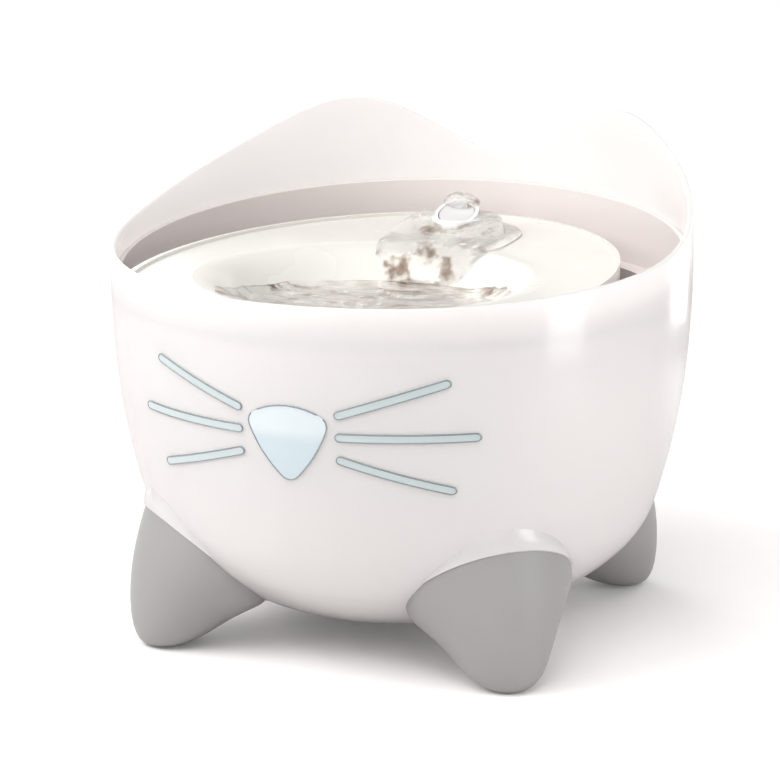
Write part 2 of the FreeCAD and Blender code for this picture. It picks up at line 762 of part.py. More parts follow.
def standoff_places():
    x = BOARD_LENGTH / 2 - 2 * STANDOFF_RADIUS
    y = BOARD_WIDTH / 2 - 2 * STANDOFF_RADIUS
    return [(x, y), (-x, y), (-x, -y), (x, -y)]


def control_board():
    return rounded_block(-BOARD_LENGTH / 2, BOARD_LENGTH / 2, -BOARD_WIDTH / 2, BOARD_WIDTH / 2,
                         BOARD_Z, BOARD_Z + BOARD_THICKNESS, STANDOFF_RADIUS)


def board_parts():
    """A coil, a capacitor, the controller chip and two connectors."""
    top = BOARD_Z + BOARD_THICKNESS
    return Part.makeCompound([
        disc(top, top + 6.0, 5.0, -15.0, 4.0),
        disc(top, top + 5.5, 3.2, -15.0, -10.0),
        block(0, 7.0, -3.5, 3.5, top, top + 1.2),
        block(14.0, 20.0, 4.0, 14.0, top, top + 4.5),
        block(14.0, 20.0, -14.0, -4.0, top, top + 4.5),
    ])


def power_inlet():
    flange = rod_y(INLET_FLANGE_RADIUS, INLET_FACE - INLET_FLANGE, INLET_FACE, 0, INLET_Z)
    barrel = rod_y(INLET_BODY_RADIUS, INLET_FACE - INLET_DEPTH, INLET_FACE, 0, INLET_Z)
    bore = rod_y(INLET_BORE, INLET_FACE - INLET_DEPTH + INLET_FLANGE, FAR, 0, INLET_Z)
    pin = rod_y(INLET_PIN, INLET_FACE - INLET_DEPTH, INLET_FACE - INLET_FLANGE, 0, INLET_Z)
    return join([flange.fuse(barrel).cut(bore), pin])


def filter_front():
    return -HOUSING_FRONT + HOUSING_WALL + FILTER_CLEARANCE


def pump_housing():
    """An open box with a slotted front and two rails that hold the cartridge upright."""
    outer = rounded_block(-HOUSING_HALF_WIDTH, HOUSING_HALF_WIDTH, -HOUSING_FRONT, HOUSING_BACK,
                          TANK_FLOOR, HOUSING_TOP, HOUSING_CORNER)
    inner = rounded_block(-HOUSING_HALF_WIDTH + HOUSING_WALL, HOUSING_HALF_WIDTH - HOUSING_WALL,
                          -HOUSING_FRONT + HOUSING_WALL, HOUSING_BACK - HOUSING_WALL,
                          TANK_FLOOR, HOUSING_TOP, HOUSING_CORNER - HOUSING_WALL)
    solid = outer.cut(inner)
    slots = []
    for i in range(GRILLE_COUNT):
        x = (i - (GRILLE_COUNT - 1) / 2) * GRILLE_PITCH
        slots.append(whisker_prism(x, GRILLE_LOW, x, GRILLE_HIGH, GRILLE_WIDTH, 0, -2 * HOUSING_FRONT))
    solid = solid.cut(slots)
    back = filter_front() + FILTER_THICKNESS + FILTER_CLEARANCE
    rails = []
    for side in (-1, 1):
        ends = sorted((side * (FILTER_HALF_WIDTH - FILTER_RAIL), side * (HOUSING_HALF_WIDTH - HOUSING_WALL / 2)))
        rails.append(block(ends[0], ends[1], back, back + FILTER_RAIL, TANK_FLOOR, HOUSING_TOP))
    return join([solid] + rails)


def outlet_y():
    return PUMP_BACK - OUTLET_BORE - OUTLET_WALL


def housing_lid():
    lid = rounded_block(-HOUSING_HALF_WIDTH, HOUSING_HALF_WIDTH, -HOUSING_FRONT, HOUSING_BACK,
                        HOUSING_TOP, HOUSING_TOP + HOUSING_LID, HOUSING_CORNER)
    slot = block(-FILTER_HALF_WIDTH - FILTER_CLEARANCE, FILTER_HALF_WIDTH + FILTER_CLEARANCE,
                 filter_front() - FILTER_CLEARANCE,
                 filter_front() + FILTER_THICKNESS + FILTER_CLEARANCE, TANK_FLOOR, FAR)
    hole = disc(0, FAR, riser_radius() + FILTER_CLEARANCE, 0, outlet_y())
    return lid.cut(slot).cut(hole)


def filter_frame():
    """The cartridge's plastic frame with ribs and a pull tab."""
    y0 = filter_front()
    y1 = y0 + FILTER_THICKNESS
    low = TANK_FLOOR + FILTER_CLEARANCE
    frame = block(-FILTER_HALF_WIDTH, FILTER_HALF_WIDTH, y0, y1, low, FILTER_TOP)
    frame = frame.cut(block(-FILTER_HALF_WIDTH + FILTER_FRAME, FILTER_HALF_WIDTH - FILTER_FRAME, y0, y1,
                            low + FILTER_FRAME, FILTER_TOP - FILTER_FRAME))
    pieces = [frame]
    span = FILTER_TOP - low
    for i in range(FILTER_RIB_COUNT):
        z = low + span * (i + 1) / (FILTER_RIB_COUNT + 1)
        for y in (y0, y1 - FILTER_RIB):
            pieces.append(block(-FILTER_HALF_WIDTH, FILTER_HALF_WIDTH, y, y + FILTER_RIB,
                                z - FILTER_RIB / 2, z + FILTER_RIB / 2))
    middle = (y0 + y1) / 2
    tab = block(-FILTER_TAB_WIDTH / 2, FILTER_TAB_WIDTH / 2, middle - FILTER_RIB, middle + FILTER_RIB,
                FILTER_TOP - FILTER_FRAME, FILTER_TOP + FILTER_TAB_HEIGHT)
    finger = rod_y(FILTER_RIB, y0, y1, 0, FILTER_TOP + FILTER_TAB_HEIGHT - FILTER_RIB)
    return join(pieces + [tab, finger])


def filter_media():
    """The carbon and foam pad held between the frame's ribs."""
    y0 = filter_front() + FILTER_RIB
    y1 = filter_front() + FILTER_THICKNESS - FILTER_RIB
    low = TANK_FLOOR + FILTER_CLEARANCE + FILTER_FRAME
    return block(-FILTER_HALF_WIDTH + FILTER_FRAME, FILTER_HALF_WIDTH - FILTER_FRAME, y0, y1,
                 low, FILTER_TOP - FILTER_FRAME)


def pump_body():
    solid = rounded_block(-PUMP_HALF_WIDTH, PUMP_HALF_WIDTH, PUMP_FRONT, PUMP_BACK,
                          PUMP_BOTTOM, PUMP_TOP, PUMP_ROUND)
    y = outlet_y()
    spigot = disc(PUMP_TOP - PUMP_ROUND, PUMP_TOP + OUTLET_HEIGHT, OUTLET_BORE + OUTLET_WALL, 0, y)
    solid = join([solid, spigot])
    stem = Part.makeCylinder(REGULATOR_STEM + SHAFT_CLEARANCE, REGULATOR_STEM_LENGTH + PUMP_END_PLAY,
                             V(PUMP_HALF_WIDTH, regulator_y(), REGULATOR_Z), V(-1, 0, 0))
    cuts = [
        rod_y(VOLUTE_RADIUS, PUMP_BACK - VOLUTE_DEPTH, PUMP_BACK, 0, PUMP_AXIS_Z),
        rod_y(ROTOR_BORE, rotor_start() - PUMP_END_PLAY, PUMP_BACK, 0, PUMP_AXIS_Z),
        rod_y(SHAFT_RADIUS, shaft_start(), PUMP_BACK, 0, PUMP_AXIS_Z),
        disc(PUMP_AXIS_Z, FAR, OUTLET_BORE - OUTLET_WALL / 2, 0, y),
        stem,
    ]
    cuts += [disc(0, PUMP_BOTTOM + CUP_STEM * 2, CUP_STEM, x, yy) for x, yy in cup_places()]
    return solid.cut(cuts)


def impeller_start():
    return PUMP_BACK - VOLUTE_DEPTH + PUMP_END_PLAY


def rotor_start():
    return impeller_start() - ROTOR_LENGTH


def shaft_start():
    return rotor_start() - PUMP_END_PLAY - SHAFT_RADIUS * 2


def regulator_y():
    return (PUMP_FRONT + PUMP_BACK) / 2


def pump_cover():
    """The cover over the vanes, with the ring of inlet slots."""
    cover = rounded_block(-PUMP_HALF_WIDTH, PUMP_HALF_WIDTH, PUMP_BACK, PUMP_BACK + PUMP_COVER,
                          PUMP_BOTTOM, PUMP_TOP, PUMP_ROUND / 2)
    inlet = rod_y(INLET_RING, PUMP_BACK, FAR, 0, PUMP_AXIS_Z)
    spokes = join([
        rod_y(SHAFT_RADIUS * 2, PUMP_BACK, PUMP_BACK + PUMP_COVER, 0, PUMP_AXIS_Z),
        block(-INLET_RING, INLET_RING, PUMP_BACK + PUMP_COVER / 2, PUMP_BACK + PUMP_COVER,
              PUMP_AXIS_Z - SHAFT_RADIUS / 2, PUMP_AXIS_Z + SHAFT_RADIUS / 2),
        block(-SHAFT_RADIUS / 2, SHAFT_RADIUS / 2, PUMP_BACK + PUMP_COVER / 2, PUMP_BACK + PUMP_COVER,
              PUMP_AXIS_Z - INLET_RING, PUMP_AXIS_Z + INLET_RING),
    ])
    cover = join([cover.cut(inlet), spokes])
    return cover.cut(rod_y(SHAFT_RADIUS, PUMP_BACK, PUMP_BACK + PUMP_COVER / 2, 0, PUMP_AXIS_Z))


def impeller_shaft():
    return rod_y(SHAFT_RADIUS, shaft_start(), PUMP_BACK + PUMP_COVER / 2, 0, PUMP_AXIS_Z)


def impeller():
    """Straight vanes on a plate, with the hub that carries the magnet."""
    start = impeller_start()
    hub = SHAFT_RADIUS * 2
    pieces = [
        rod_y(IMPELLER_RADIUS, start, start + IMPELLER_PLATE, 0, PUMP_AXIS_Z),
        rod_y(hub, start, start + IMPELLER_HEIGHT, 0, PUMP_AXIS_Z),
    ]
    vane = block(0, IMPELLER_RADIUS - VANE_THICKNESS / 2, start, start + IMPELLER_HEIGHT,
                 PUMP_AXIS_Z - VANE_THICKNESS / 2, PUMP_AXIS_Z + VANE_THICKNESS / 2)
    for i in range(VANE_COUNT):
        copy = vane.copy()
        copy.rotate(V(0, 0, PUMP_AXIS_Z), V(0, 1, 0), 360 * i / VANE_COUNT)
        pieces.append(copy)
    bore = rod_y(SHAFT_RADIUS + SHAFT_CLEARANCE, 0, PUMP_BACK + PUMP_COVER, 0, PUMP_AXIS_Z)
    return join(pieces).cut(bore)


def rotor_magnet():
    start = rotor_start()
    rod = rod_y(ROTOR_RADIUS, start, impeller_start(), 0, PUMP_AXIS_Z)
    return rod.cut(rod_y(SHAFT_RADIUS + SHAFT_CLEARANCE, 0, PUMP_BACK, 0, PUMP_AXIS_Z))


def flow_regulator():
    """The side wheel that throttles the pump, with a raised grip bar."""
    side = V(PUMP_HALF_WIDTH, regulator_y(), REGULATOR_Z)
    gap = V(PUMP_END_PLAY, 0, 0)
    wheel = Part.makeCylinder(REGULATOR_RADIUS, REGULATOR_THICKNESS, side + gap, V(1, 0, 0))
    stem = Part.makeCylinder(REGULATOR_STEM, REGULATOR_STEM_LENGTH + PUMP_END_PLAY, side + gap, V(-1, 0, 0))
    outer = side.x + PUMP_END_PLAY + REGULATOR_THICKNESS
    grip = block(outer, outer + REGULATOR_THICKNESS, side.y - SHAFT_RADIUS, side.y + SHAFT_RADIUS,
                 side.z - REGULATOR_RADIUS * 0.8, side.z + REGULATOR_RADIUS * 0.8)
    return join([wheel, stem, grip])


def cup_places():
    middle = (PUMP_FRONT + PUMP_BACK) / 2
    return [(sx * CUP_SPREAD_X, middle + sy * CUP_SPREAD_Y) for sx in (-1, 1) for sy in (-1, 1)]


def suction_cups():
    cups = []
    for x, y in cup_places():
        cone = Part.makeCone(CUP_RADIUS, CUP_STEM, PUMP_BOTTOM - TANK_FLOOR, V(x, y, TANK_FLOOR))
        hollow = Part.makeCone(CUP_RADIUS - CUP_STEM / 2, 0, (PUMP_BOTTOM - TANK_FLOOR) / 2,
                               V(x, y, TANK_FLOOR))
        stem = disc(PUMP_BOTTOM - CUP_STEM / 2, PUMP_BOTTOM + CUP_STEM * 2, CUP_STEM, x, y)
        cups.append(cone.cut(hollow).fuse(stem).removeSplitter())
    return Part.makeCompound(cups)


def inlet_strainer():
    y0 = PUMP_BACK + PUMP_COVER
    half = (PUMP_TOP - PUMP_BOTTOM) / 2 - PUMP_ROUND / 2
    middle = (PUMP_TOP + PUMP_BOTTOM) / 2
    return block(-STRAINER_HALF_WIDTH, STRAINER_HALF_WIDTH, y0, y0 + STRAINER_THICKNESS,
                 middle - half, middle + half)


def riser_path():
    """Straight up from the pump, over in an S to stand under the nozzle, and straight up again."""
    low = PUMP_TOP + OUTLET_HEIGHT / 3
    y0 = outlet_y()
    shift = NOZZLE_BACK - y0
    a = math.radians(RISER_BEND)
    radius = shift / (2 * (1 - math.cos(a)))
    top = RISER_TOP - RISER_STRAIGHT * 1.6
    start = top - 2 * radius * math.sin(a)
    half = math.sin(a / 2) * radius
    first = V(0, y0 + radius * (1 - math.cos(a / 2)), start + half)
    middle = V(0, y0 + shift / 2, start + radius * math.sin(a))
    second = V(0, NOZZLE_BACK - radius * (1 - math.cos(a / 2)), top - half)
    end = V(0, NOZZLE_BACK, top)
    foot_point = V(0, y0, start)
    return Part.Wire([
        Part.makeLine(V(0, y0, low), foot_point),
        Part.Arc(foot_point, first, middle).toShape(),
        Part.Arc(middle, second, end).toShape(),
        Part.makeLine(end, V(0, NOZZLE_BACK, RISER_TOP)),
    ])


def riser_tube():
    path = riser_path()
    start = V(0, outlet_y(), PUMP_TOP + OUTLET_HEIGHT / 3)
    tubes = []
    for radius in (riser_radius(), riser_radius() - RISER_WALL):
        ring = Part.Wire(Part.makeCircle(radius, start, UP))
        tubes.append(path.makePipeShell([ring], True, True))
    return tubes[0].cut(tubes[1])


def foot_pads():
    pad = disc(0, PAD_THICKNESS, PAD_RADIUS, PAD_REACH)
    return Part.makeCompound([place_foot(pad, a) for a in FOOT_ANGLES.values()])


def write(name, shape):
    solids = shape.Solids
    if not solids or not shape.isValid():
        raise RuntimeError(name + " is not a valid solid")
    shape.exportStep("parts/" + name + ".step")
    box = shape.BoundBox
    print("%-20s solids %2d volume %10.1f  box %s" % (
        name, len(solids), shape.Volume,
        [round(v, 1) for v in (box.XMin, box.XMax, box.YMin, box.YMax, box.ZMin, box.ZMax)]))


def main():
    os.makedirs("parts", exist_ok=True)
    write("bowl_shell", bowl_shell())
    write("water_tank", tank())
    write("tank_seal", tank_seal())
    write("tank_gland", tank_gland())
    write("level_pins", Part.makeCompound([level_pin(-PIN_SPREAD), level_pin(PIN_SPREAD)]))
    write("nose_lens", nose_lens())
    write("whisker_guide_left", whisker_guide(-1))
    write("whisker_guide_right", whisker_guide(1))
    write("light_board", light_board())
    write("face_leds", face_leds())
    horn_foot = foot()
    for name, angle in FOOT_ANGLES.items():
        write(name, place_foot(horn_foot, angle))
    write("foot_pads", foot_pads())
    write("foot_screws", Part.makeCompound([place_foot(foot_screw(), a) for a in FOOT_ANGLES.values()]))
    write("base_cover", base_cover())
    write("base_gasket", cover_gasket())
    write("base_screws", cover_screws())
    write("control_board", control_board())
    write("board_parts", board_parts())
    write("power_inlet", power_inlet())
    write("drinking_dish", drinking_dish())
    write("spout_nozzle", spout_nozzle())
    write("nozzle_ring", nozzle_ring())
    write("pump_housing", pump_housing())
    write("housing_lid", housing_lid())
    write("filter_frame", filter_frame())
    write("filter_media", filter_media())
    write("pump_body", pump_body())
    write("pump_cover", pump_cover())
    write("impeller_shaft", impeller_shaft())
    write("impeller", impeller())
    write("rotor_magnet", rotor_magnet())
    write("flow_regulator", flow_regulator())
    write("suction_cups", suction_cups())
    write("inlet_strainer", inlet_strainer())
    write("riser_tube", riser_tube())


main()
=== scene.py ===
# %% [markdown]
# # A cat-face water fountain, dressed for a studio picture
# The solid parts come ready made: shell, tank, dish, feet and pump, each at its real size and
# already standing where it belongs. This lesson gives each of them its finish, adds the water
# that no solid model holds, and lights the whole like a catalogue picture.
# Everything is in metres. The floor is at zero height and the face looks towards -Y.

# %% Load the solid parts
import math

import bpy
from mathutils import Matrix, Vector, noise
from mathutils.bvhtree import BVHTree


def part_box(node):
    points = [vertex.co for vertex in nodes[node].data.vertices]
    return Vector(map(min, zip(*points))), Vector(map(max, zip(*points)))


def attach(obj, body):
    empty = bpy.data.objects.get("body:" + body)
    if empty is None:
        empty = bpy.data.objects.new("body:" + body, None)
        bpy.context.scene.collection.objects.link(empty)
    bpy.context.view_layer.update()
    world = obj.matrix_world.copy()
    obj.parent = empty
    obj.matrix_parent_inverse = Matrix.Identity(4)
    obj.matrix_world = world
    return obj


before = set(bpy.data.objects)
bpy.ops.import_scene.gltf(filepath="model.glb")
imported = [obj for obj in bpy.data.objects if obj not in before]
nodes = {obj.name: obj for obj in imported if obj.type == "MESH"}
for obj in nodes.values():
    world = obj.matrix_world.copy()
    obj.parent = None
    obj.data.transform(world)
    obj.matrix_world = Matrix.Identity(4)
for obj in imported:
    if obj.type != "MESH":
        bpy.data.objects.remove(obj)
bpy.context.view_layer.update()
MM = 0.001
print("parts loaded:", len(nodes))

# %% [markdown]
# ## The camera
# A product picture like this is taken from far away with a long lens, so that the bowl's rim
# stays a calm ellipse. The camera stands about 1.3 m off, 22 degrees to the right of the face
# and 14 degrees above it. A lens can be set by its field of view or by its focal length; the
# focal length is used here because a photographer would name it.

# %% Place the camera
CAMERA_TURN = math.radians(21.97)
CAMERA_RISE = math.radians(13.71)
CAMERA_DISTANCE = 1.2973
CAMERA_LENS = 135.4
AIM_HEIGHT = 0.10206
AIM_LEFT = 0.00507
NEAREST_SEEN = 0.05
FARTHEST_SEEN = 20.0

back = Vector((
    math.sin(CAMERA_TURN) * math.cos(CAMERA_RISE),
    -math.cos(CAMERA_TURN) * math.cos(CAMERA_RISE),
    math.sin(CAMERA_RISE),
))
right = Vector((math.cos(CAMERA_TURN), math.sin(CAMERA_TURN), 0.0))
aim = Vector((0.0, 0.0, AIM_HEIGHT)) - right * AIM_LEFT

camera_data = bpy.data.cameras.new("camera")
camera_data.lens = CAMERA_LENS
camera_data.clip_start = NEAREST_SEEN
camera_data.clip_end = FARTHEST_SEEN
camera = bpy.data.objects.new("camera", camera_data)
camera.location = aim + back * CAMERA_DISTANCE
camera.rotation_mode = "QUATERNION"
camera.rotation_quaternion = (-back).to_track_quat("-Z", "Y")
bpy.context.scene.collection.objects.link(camera)
bpy.context.scene.camera = camera
bpy.context.scene.view_settings.view_transform = "Standard"
print("camera at", [round(v, 4) for v in camera.location])

# %% [markdown]
# ## A small kit for finishes
# Moulded plastic is never one flat value: its gloss drifts a little where the mould is worn,
# and the surface has a faint waviness from shrinkage. Painting that by hand is possible, but
# noise in the part's own space costs nothing and fits every side. Each finish below is built
# from the same three ideas: a colour that drifts a little, a roughness that drifts more, and a
# bump too small to name. Values that are the same all over stay on the shader's own sockets.

# %% Nodes for finishes
SLOW_DRIFT = 14.0
NOISE_LOW = 0.3
NOISE_HIGH = 0.7
COAT_ROUGHNESS = 0.06
SHARP_EDGE = math.radians(32)


def add_node(tree, kind, **settings):
    """A new shader node with its settings."""
    made = tree.nodes.new(kind)
    for key, value in settings.items():
        setattr(made, key, value)
    return made


def fresh_material(name):
    """A material with its output and main shader, and the coordinates of the part's own space."""
    material = bpy.data.materials.new(name)
    material.use_nodes = True
    tree = material.node_tree
    tree.nodes.clear()
    output = add_node(tree, "ShaderNodeOutputMaterial")
    shader = add_node(tree, "ShaderNodeBsdfPrincipled")
    tree.links.new(shader.outputs["BSDF"], output.inputs["Surface"])
    place = add_node(tree, "ShaderNodeTexCoord")
    return material, tree, shader, place.outputs["Object"]


def noise_at(tree, place, scale, detail=3.0):
    """Cloudy noise, scale clouds to the metre."""
    spots = add_node(tree, "ShaderNodeTexNoise")
    spots.inputs["Scale"].default_value = scale
    spots.inputs["Detail"].default_value = detail
    tree.links.new(place, spots.inputs["Vector"])
    return spots.outputs["Fac"]


def spread(tree, value, low, high):
    """Turns a noise value into one between low and high."""
    ramp = add_node(tree, "ShaderNodeMapRange")
    ramp.inputs["From Min"].default_value = NOISE_LOW
    ramp.inputs["From Max"].default_value = NOISE_HIGH
    ramp.inputs["To Min"].default_value = low
    ramp.inputs["To Max"].default_value = high
    tree.links.new(value, ramp.inputs["Value"])
    return ramp.outputs["Result"]


def blend_colours(tree, value, dark, light):
    """The dark colour where value is 0, the light one where it is 1."""
    mix = add_node(tree, "ShaderNodeMix", data_type="RGBA")
    mix.inputs[6].default_value = (*dark, 1.0)
    mix.inputs[7].default_value = (*light, 1.0)
    tree.links.new(value, mix.inputs[0])
    return mix.outputs[2]


def bump_from(tree, value, height):
    """A waviness of the surface, height metres deep."""
    bump = add_node(tree, "ShaderNodeBump")
    bump.inputs["Strength"].default_value = 1.0
    bump.inputs["Distance"].default_value = height
    tree.links.new(value, bump.inputs["Height"])
    return bump.outputs["Normal"]


# %% A finish for moulded plastics


def moulded_plastic(name, colour, gloss, drift=0.02, grain=900.0, grain_height=0.00002, coat=0.0):
    """Colour, gloss as (smoothest, roughest), how far the colour drifts, and the surface's grain."""
    material, tree, shader, place = fresh_material(name)
    slow = noise_at(tree, place, SLOW_DRIFT)
    fine = noise_at(tree, place, grain, 2.0)
    dark = [max(0.0, c - drift) for c in colour]
    light = [min(1.0, c + drift) for c in colour]
    tree.links.new(blend_colours(tree, slow, dark, light), shader.inputs["Base Color"])
    tree.links.new(spread(tree, slow, gloss[0], gloss[1]), shader.inputs["Roughness"])
    tree.links.new(bump_from(tree, fine, grain_height), shader.inputs["Normal"])
    shader.inputs["Coat Weight"].default_value = coat
    shader.inputs["Coat Roughness"].default_value = COAT_ROUGHNESS
    return material, tree, shader, place


def dress(material, *names):
    """Gives parts their finish, smooth over soft bends and crisp at real edges."""
    for name in names:
        mesh = nodes[name].data
        mesh.materials.clear()
        mesh.materials.append(material)
        mesh.polygons.foreach_set("use_smooth", [True] * len(mesh.polygons))
        mesh.set_sharp_from_angle(angle=SHARP_EDGE)
    print(material.name, "on", ", ".join(names))


# %% [markdown]
# ## The white shell
# The outer bowl is injection-moulded ABS, polished in the mould: bright, a touch warm, with a
# clear glossy skin. The lamps draw long upright reflections on it, so its gloss has to be high,
# but a little uneven, or it looks like enamel. Its wall is thin, and light from behind glows
# through the eared rim. Subsurface scattering could do that too, but on a wall of 3 mm a share
# of a translucent shader is quicker and less noisy.

# %% Finish of the shell and the base cover
shell_white, shell_tree, shell_shader, _ = moulded_plastic(
    "shell_white", (0.89, 0.875, 0.87), (0.2, 0.27), drift=0.006, grain=420.0,
    grain_height=0.000012, coat=0.9)
shell_shader.inputs["Coat Roughness"].default_value = 0.12
shell_shader.inputs["IOR"].default_value = 1.5

# %% Light through the shell's thin wall
SHELL_GLOW_THROUGH = 0.42
GLOW_COLOUR = (0.95, 0.93, 0.92)


def output_of(tree):
    return next(n for n in tree.nodes if n.bl_idname == "ShaderNodeOutputMaterial")


def mix_shaders(tree, first, second, share):
    """Puts a share of the second shader over the first, and sends both to the output."""
    mix = add_node(tree, "ShaderNodeMixShader")
    mix.inputs[0].default_value = share
    tree.links.new(first.outputs["BSDF"], mix.inputs[1])
    tree.links.new(second.outputs["BSDF"], mix.inputs[2])
    tree.links.new(mix.outputs[0], output_of(tree).inputs["Surface"])


through = add_node(shell_tree, "ShaderNodeBsdfTranslucent")
through.inputs["Color"].default_value = (*GLOW_COLOUR, 1.0)
mix_shaders(shell_tree, shell_shader, through, SHELL_GLOW_THROUGH)
dress(shell_white, "bowl_shell", "base_cover")

# %% [markdown]
# ## The tank
# Inside the shell hangs the tank, in a grey with a breath of mauve. It is satin, because the
# mould is textured so that water marks don't show.

# %% Finish of the tank
tank_grey, _, _, _ = moulded_plastic(
    "tank_grey", (0.76, 0.70, 0.685), (0.38, 0.5), drift=0.012, grain=1500.0)
dress(tank_grey, "water_tank")

# %% [markdown]
# ## The dish and the nozzle
# The dish is what the cat drinks from: cream-white plastic, glossy because it has to wipe clean.
# The nozzle is a separate moulding of a cooler white.

# %% Finish of the dish and the nozzle
dish_cream, _, _, _ = moulded_plastic(
    "dish_cream", (0.74, 0.725, 0.685), (0.18, 0.3), drift=0.008, grain=380.0,
    grain_height=0.000015, coat=0.2)
dress(dish_cream, "drinking_dish")
nozzle_white, _, _, _ = moulded_plastic(
    "nozzle_white", (0.86, 0.86, 0.855), (0.2, 0.3), drift=0.008)
dress(nozzle_white, "spout_nozzle")

# %% [markdown]
# ## The feet
# Four grey horns carry the bowl. They are of a softer, satin plastic with a fine spark-eroded
# grain, which gives broad, quiet highlights.

# %% Finish of the feet
foot_grey, _, _, _ = moulded_plastic(
    "foot_grey", (0.295, 0.29, 0.287), (0.42, 0.52), drift=0.012, grain=1800.0,
    grain_height=0.00003)
dress(foot_grey, "foot_front_left", "foot_front_right", "foot_rear_left", "foot_rear_right")

# %% [markdown]
# ## The lit face
# Nose and whiskers are light guides: clear polycarbonate with a pale blue tint that a lamp
# behind them fills softly. With the lamp off they look like frosted ice. A glass shader would
# show the dark inside of the shell, so the body of the guide is a milky surface under a clear
# coat. The nose is domed and mirrors the room's bright upper half, so its colour is painted
# paler above a level line, a painted reflection; the whiskers are too narrow for that and keep
# one greyer tint.

# %% Finish of the nose
NOSE_BREAK = 111.5 * MM
NOSE_BREAK_WIDTH = 3.0 * MM
NOSE_BELOW = (0.52, 0.61, 0.65)
# painted reflection: the paler colour of the nose above the level line
NOSE_PAINTED_REFLECTION = (0.63, 0.695, 0.72)
GUIDE_DEPTH = (0.002, 0.003, 0.004)
GUIDE_MILKINESS = 0.3


def make_milky(shader):
    """Light sinks a few millimetres into the guide before it comes back."""
    shader.inputs["Subsurface Weight"].default_value = GUIDE_MILKINESS
    shader.inputs["Subsurface Radius"].default_value = GUIDE_DEPTH


lens_blue, lens_tree, lens_shader, lens_place = moulded_plastic(
    "lens_blue", (0.56, 0.66, 0.70), (0.1, 0.18), drift=0.03, grain=260.0, coat=0.6)
lens_height = add_node(lens_tree, "ShaderNodeSeparateXYZ")
lens_tree.links.new(lens_place, lens_height.inputs[0])
# painted reflection: this mask turns the nose's colour paler above a level line
upper = add_node(lens_tree, "ShaderNodeMapRange", interpolation_type="SMOOTHSTEP")
upper.inputs["From Min"].default_value = NOSE_BREAK - NOSE_BREAK_WIDTH
upper.inputs["From Max"].default_value = NOSE_BREAK + NOSE_BREAK_WIDTH
lens_tree.links.new(lens_height.outputs["Z"], upper.inputs["Value"])
nose_colour = blend_colours(lens_tree, upper.outputs["Result"], NOSE_BELOW, NOSE_PAINTED_REFLECTION)
lens_tree.links.new(nose_colour, lens_shader.inputs["Base Color"])
make_milky(lens_shader)
dress(lens_blue, "nose_lens")

# %% Finish of the whiskers
guide_grey, _, guide_shader, _ = moulded_plastic(
    "guide_grey", (0.50, 0.565, 0.575), (0.08, 0.16), drift=0.05, grain=180.0, coat=0.7)
make_milky(guide_shader)
dress(guide_grey, "whisker_guide_left", "whisker_guide_right")

# %% [markdown]
# ## What the shell hides
# Pump, filter, boards and seals show only when the dish is lifted, but each still gets its own
# finish, so that the opened fountain looks right as well.

# %% Finishes of the inner parts
pump_black, _, _, _ = moulded_plastic("pump_black", (0.03, 0.03, 0.033), (0.35, 0.5), drift=0.008)
dress(pump_black, "pump_body", "pump_cover", "flow_regulator")
housing_white, _, _, _ = moulded_plastic("housing_white", (0.74, 0.745, 0.75), (0.3, 0.45))
dress(housing_white, "pump_housing", "housing_lid", "filter_frame", "impeller")
rubber_grey, _, _, _ = moulded_plastic(
    "rubber_grey", (0.12, 0.12, 0.123), (0.7, 0.85), drift=0.01, grain=2500.0)
dress(rubber_grey, "foot_pads", "tank_seal", "base_gasket", "nozzle_ring", "suction_cups", "tank_gland")
parts_black, _, _, _ = moulded_plastic("parts_black", (0.035, 0.035, 0.035), (0.4, 0.6), drift=0.01)
dress(parts_black, "power_inlet", "board_parts", "rotor_magnet")
board_green, _, _, _ = moulded_plastic("board_green", (0.03, 0.17, 0.08), (0.3, 0.42), drift=0.02)
dress(board_green, "control_board", "light_board")
led_white, _, _, _ = moulded_plastic("led_white", (0.85, 0.82, 0.62), (0.12, 0.2), coat=0.5)
dress(led_white, "face_leds")
tube_milky, _, tube_shader, _ = moulded_plastic("tube_milky", (0.68, 0.72, 0.74), (0.15, 0.25))
tube_shader.inputs["Transmission Weight"].default_value = 0.5
dress(tube_milky, "riser_tube")

# %% [markdown]
# Foam and carbon are full of holes. A strong, sharp noise bump on a dark rough surface reads as
# open cells from a hand's breadth away.

# %% Finish of the foam and the filter pad
foam_black, _, _, _ = moulded_plastic(
    "foam_black", (0.055, 0.055, 0.058), (0.9, 1.0), drift=0.03, grain=1300.0, grain_height=0.0008)
dress(foam_black, "inlet_strainer", "filter_media")

# %% [markdown]
# Screws, pins and the shaft are stainless steel, brushed by the tool that turned them.

# %% Finish of the steel parts
steel, _, steel_shader, _ = moulded_plastic("steel", (0.56, 0.56, 0.57), (0.2, 0.34), grain=3000.0)
steel_shader.inputs["Metallic"].default_value = 1.0
dress(steel, "foot_screws", "base_screws", "level_pins", "impeller_shaft")

# %% [markdown]
# ## Water
# Water shows by what it bends and by its bright and dark rims, so its surface must really wave.
# A fluid simulation would give splashes in its own random places. Here each water surface is
# instead a height field: a grid of points whose height is a sum of slow and quick waves.
# The material is clear, with the refraction of water, and its colour is painted darker in
# blotches, a painted shade for where a fold turns light away. Light can't reach the dish through
# a refracting surface without many samples, so about half of the shader lets it straight
# through, or the dish under the water would be in shadow.

# %% Finish of the water
CLEAR_WATER = (1.0, 0.995, 0.99)
# painted shade: the water's colour in its dark blotches, where a fold turns light away
WATER_PAINTED_SHADE = (0.52, 0.45, 0.41)
PASSING_CLEAR = (1.0, 0.998, 0.995)
# painted shade in what the water lets straight through, in the same blotches
PASSING_PAINTED_SHADE = (0.76, 0.71, 0.675)
PASSING_SHARE = 0.45
SPECKLES_PER_FOLD = 4.0
SPECKLE_SHARE = 0.3
SPECKLE_HEIGHT = 0.18 * MM
ROUGHEST_WATER = 0.03
WATER_IOR = 1.33


